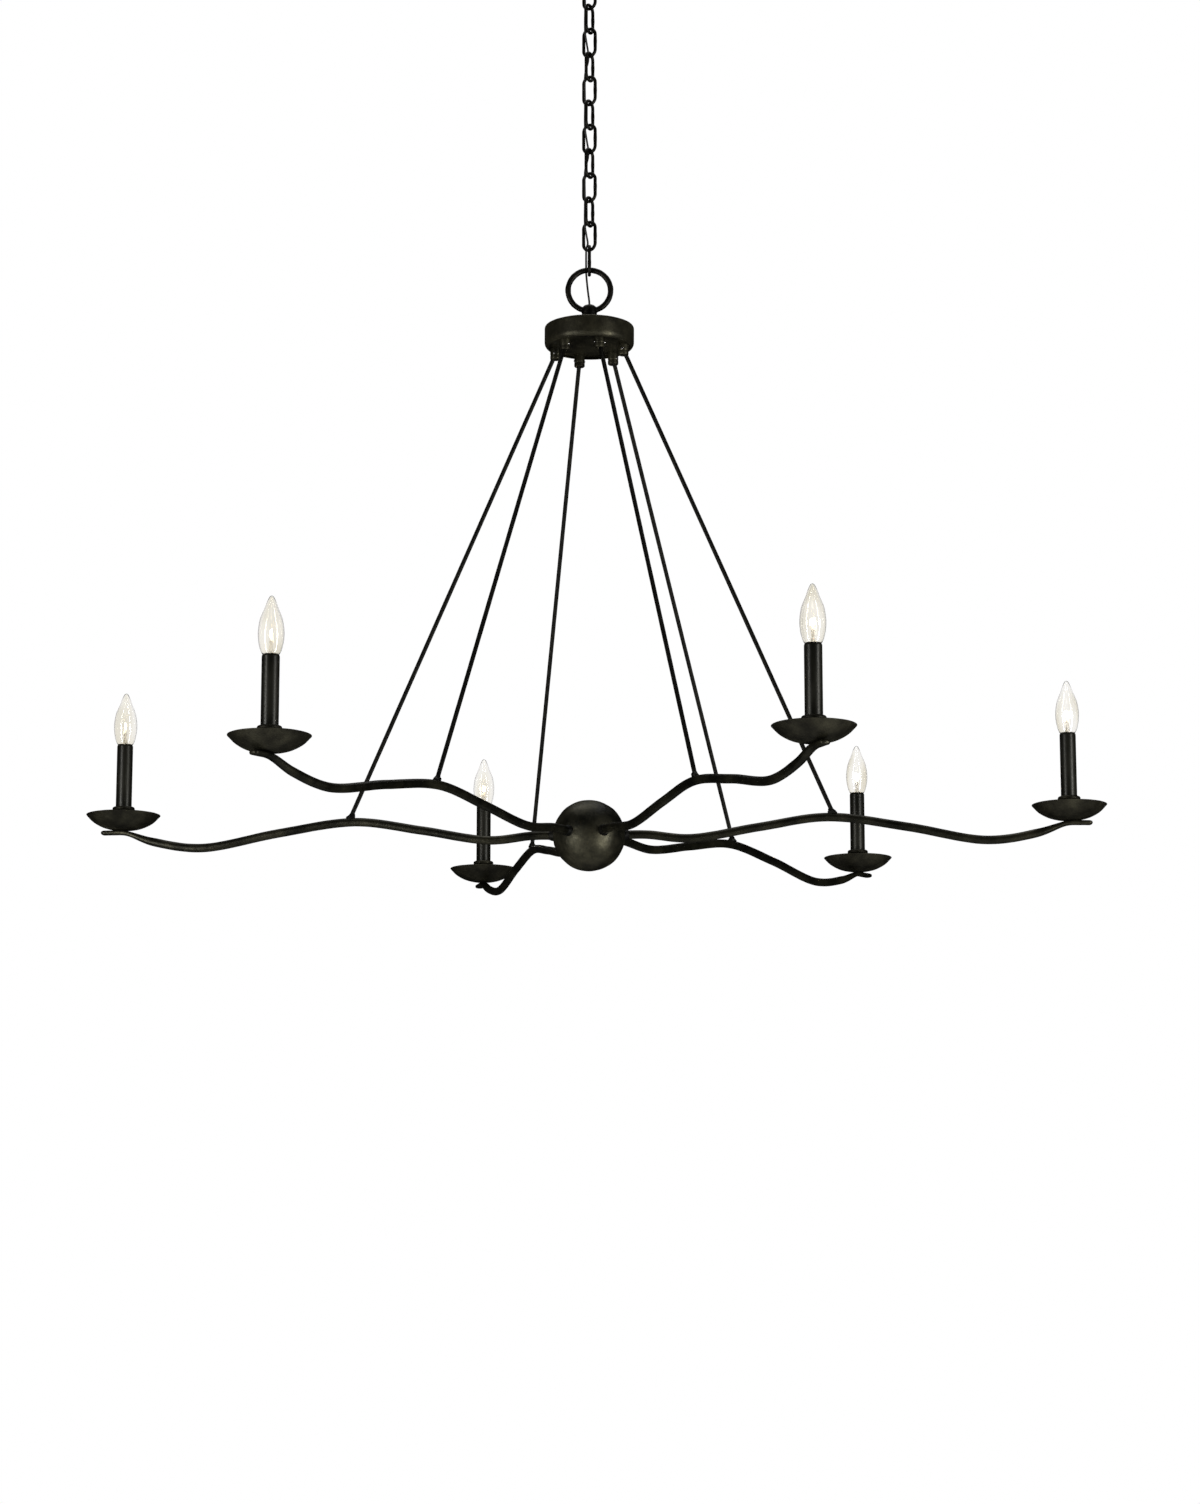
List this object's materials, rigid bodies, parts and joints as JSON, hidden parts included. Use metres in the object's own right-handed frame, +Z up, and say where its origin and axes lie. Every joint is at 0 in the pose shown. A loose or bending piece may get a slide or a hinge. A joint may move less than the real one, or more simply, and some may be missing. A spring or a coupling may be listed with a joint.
{
  "type": "multi arm chandelier",
  "caption": "Chandelier of dark forged iron with wavy arms from a central ball, thin rods to a collector cup, candle lamps on drip pans, hung by a ring from an oval-link chain.",
  "frame": {"origin": "in the ceiling plane on the chain's axis, where the canopy's rim meets the ceiling", "axes": "+Z up towards the ceiling, +X to the right along the right arm, +Y to the rear"},
  "size_m": [1.5002, 1.4256, 1.4304],
  "materials": {
    "forged_iron": "dark bronze-brown forged iron finish, satin, with uneven olive sheen",
    "chain_iron": "the same dark finish, slightly glossier on round wire",
    "sleeve_paint": "dark satin paint on the candle sleeves",
    "bracket_steel": "zinc-plated strap hidden in the canopy",
    "brass_nut": "plain brass locknut hidden in the cup",
    "socket_plastic": "dark moulded lamp socket",
    "lamp_glass": "clear glass of a lit warm-white candle lamp",
    "cord_jacket": "thin dark round supply cord"
  },
  "bodies": {
    "ceiling_mount": {"crossbar": "bracket_steel", "canopy": "forged_iron", "canopy_collar": "forged_iron", "canopy_loop": "forged_iron", "supply_cord": "cord_jacket"},
    "link_01": {"chain_link_01": "chain_iron"},
    "link_02": {"chain_link_02": "chain_iron"},
    "link_03": {"chain_link_03": "chain_iron"},
    "link_04": {"chain_link_04": "chain_iron"},
    "link_05": {"chain_link_05": "chain_iron"},
    "link_06": {"chain_link_06": "chain_iron"},
    "link_07": {"chain_link_07": "chain_iron"},
    "link_08": {"chain_link_08": "chain_iron"},
    "link_09": {"chain_link_09": "chain_iron"},
    "link_10": {"chain_link_10": "chain_iron"},
    "link_11": {"chain_link_11": "chain_iron"},
    "link_12": {"chain_link_12": "chain_iron"},
    "chandelier": {"top_loop": "forged_iron", "loop_locknut": "brass_nut", "collector_cup": "forged_iron", "collector_plate": "forged_iron", "hub_ball": "forged_iron", "arm_right": "forged_iron", "rod_right": "forged_iron", "drip_pan_right": "forged_iron", "candle_sleeve_right": "sleeve_paint", "socket_right": "socket_plastic", "arm_rear_right": "forged_iron", "rod_rear_right": "forged_iron", "drip_pan_rear_right": "forged_iron", "candle_sleeve_rear_right": "sleeve_paint", "socket_rear_right": "socket_plastic", "arm_rear_left": "forged_iron", "rod_rear_left": "forged_iron", "drip_pan_rear_left": "forged_iron", "candle_sleeve_rear_left": "sleeve_paint", "socket_rear_left": "socket_plastic", "arm_left": "forged_iron", "rod_left": "forged_iron", "drip_pan_left": "forged_iron", "candle_sleeve_left": "sleeve_paint", "socket_left": "socket_plastic", "arm_front_left": "forged_iron", "rod_front_left": "forged_iron", "drip_pan_front_left": "forged_iron", "candle_sleeve_front_left": "sleeve_paint", "socket_front_left": "socket_plastic", "arm_front_right": "forged_iron", "rod_front_right": "forged_iron", "drip_pan_front_right": "forged_iron", "candle_sleeve_front_right": "sleeve_paint", "socket_front_right": "socket_plastic"},
    "lamp_right": {"bulb_right": "lamp_glass"},
    "lamp_rear_right": {"bulb_rear_right": "lamp_glass"},
    "lamp_rear_left": {"bulb_rear_left": "lamp_glass"},
    "lamp_left": {"bulb_left": "lamp_glass"},
    "lamp_front_left": {"bulb_front_left": "lamp_glass"},
    "lamp_front_right": {"bulb_front_right": "lamp_glass"}
  },
  "joints": [
    {"name": "loop_to_link_01", "type": "hinge", "parent": "ceiling_mount", "child": "link_01", "pos_m": [0, 0, -0.06635], "axis": [0.5, 0.866, 0], "range_deg": [-5, 5], "deforming": ["supply_cord"]},
    {"name": "link_01_to_02", "type": "hinge", "parent": "link_01", "child": "link_02", "pos_m": [0, 0, -0.1074], "axis": [0.866, -0.5, 0], "range_deg": [-5, 5], "deforming": ["supply_cord"]},
    {"name": "link_02_to_03", "type": "hinge", "parent": "link_02", "child": "link_03", "pos_m": [0, 0, -0.1457], "axis": [0.5, 0.866, 0], "range_deg": [-5, 5], "deforming": ["supply_cord"]},
    {"name": "link_03_to_04", "type": "hinge", "parent": "link_03", "child": "link_04", "pos_m": [0, 0, -0.184], "axis": [0.866, -0.5, 0], "range_deg": [-5, 5], "deforming": ["supply_cord"]},
    {"name": "link_04_to_05", "type": "hinge", "parent": "link_04", "child": "link_05", "pos_m": [0, 0, -0.2223], "axis": [0.5, 0.866, 0], "range_deg": [-5, 5], "deforming": ["supply_cord"]},
    {"name": "link_05_to_06", "type": "hinge", "parent": "link_05", "child": "link_06", "pos_m": [0, 0, -0.2606], "axis": [0.866, -0.5, 0], "range_deg": [-5, 5], "deforming": ["supply_cord"]},
    {"name": "link_06_to_07", "type": "hinge", "parent": "link_06", "child": "link_07", "pos_m": [0, 0, -0.2989], "axis": [0.5, 0.866, 0], "range_deg": [-5, 5], "deforming": ["supply_cord"]},
    {"name": "link_07_to_08", "type": "hinge", "parent": "link_07", "child": "link_08", "pos_m": [0, 0, -0.3372], "axis": [0.866, -0.5, 0], "range_deg": [-5, 5], "deforming": ["supply_cord"]},
    {"name": "link_08_to_09", "type": "hinge", "parent": "link_08", "child": "link_09", "pos_m": [0, 0, -0.3755], "axis": [0.5, 0.866, 0], "range_deg": [-5, 5], "deforming": ["supply_cord"]},
    {"name": "link_09_to_10", "type": "hinge", "parent": "link_09", "child": "link_10", "pos_m": [0, 0, -0.4138], "axis": [0.866, -0.5, 0], "range_deg": [-5, 5], "deforming": ["supply_cord"]},
    {"name": "link_10_to_11", "type": "hinge", "parent": "link_10", "child": "link_11", "pos_m": [0, 0, -0.4521], "axis": [0.5, 0.866, 0], "range_deg": [-5, 5], "deforming": ["supply_cord"]},
    {"name": "link_11_to_12", "type": "hinge", "parent": "link_11", "child": "link_12", "pos_m": [0, 0, -0.4904], "axis": [0.866, -0.5, 0], "range_deg": [-5, 5], "deforming": ["supply_cord"]},
    {"name": "link_12_to_ring", "type": "hinge", "parent": "link_12", "child": "chandelier", "pos_m": [0, 0, -0.5287], "axis": [0.0005, 1, 0], "range_deg": [-5, 5], "deforming": ["supply_cord"]},
    {"name": "unscrew_bulb_right", "type": "slide", "parent": "chandelier", "child": "lamp_right", "axis": [0, 0, 1], "range_m": [0, 0.03]},
    {"name": "unscrew_bulb_rear_right", "type": "slide", "parent": "chandelier", "child": "lamp_rear_right", "axis": [0, 0, 1], "range_m": [0, 0.03]},
    {"name": "unscrew_bulb_rear_left", "type": "slide", "parent": "chandelier", "child": "lamp_rear_left", "axis": [0, 0, 1], "range_m": [0, 0.03]},
    {"name": "unscrew_bulb_left", "type": "slide", "parent": "chandelier", "child": "lamp_left", "axis": [0, 0, 1], "range_m": [0, 0.03]},
    {"name": "unscrew_bulb_front_left", "type": "slide", "parent": "chandelier", "child": "lamp_front_left", "axis": [0, 0, 1], "range_m": [0, 0.03]},
    {"name": "unscrew_bulb_front_right", "type": "slide", "parent": "chandelier", "child": "lamp_front_right", "axis": [0, 0, 1], "range_m": [0, 0.03]}
  ]
}
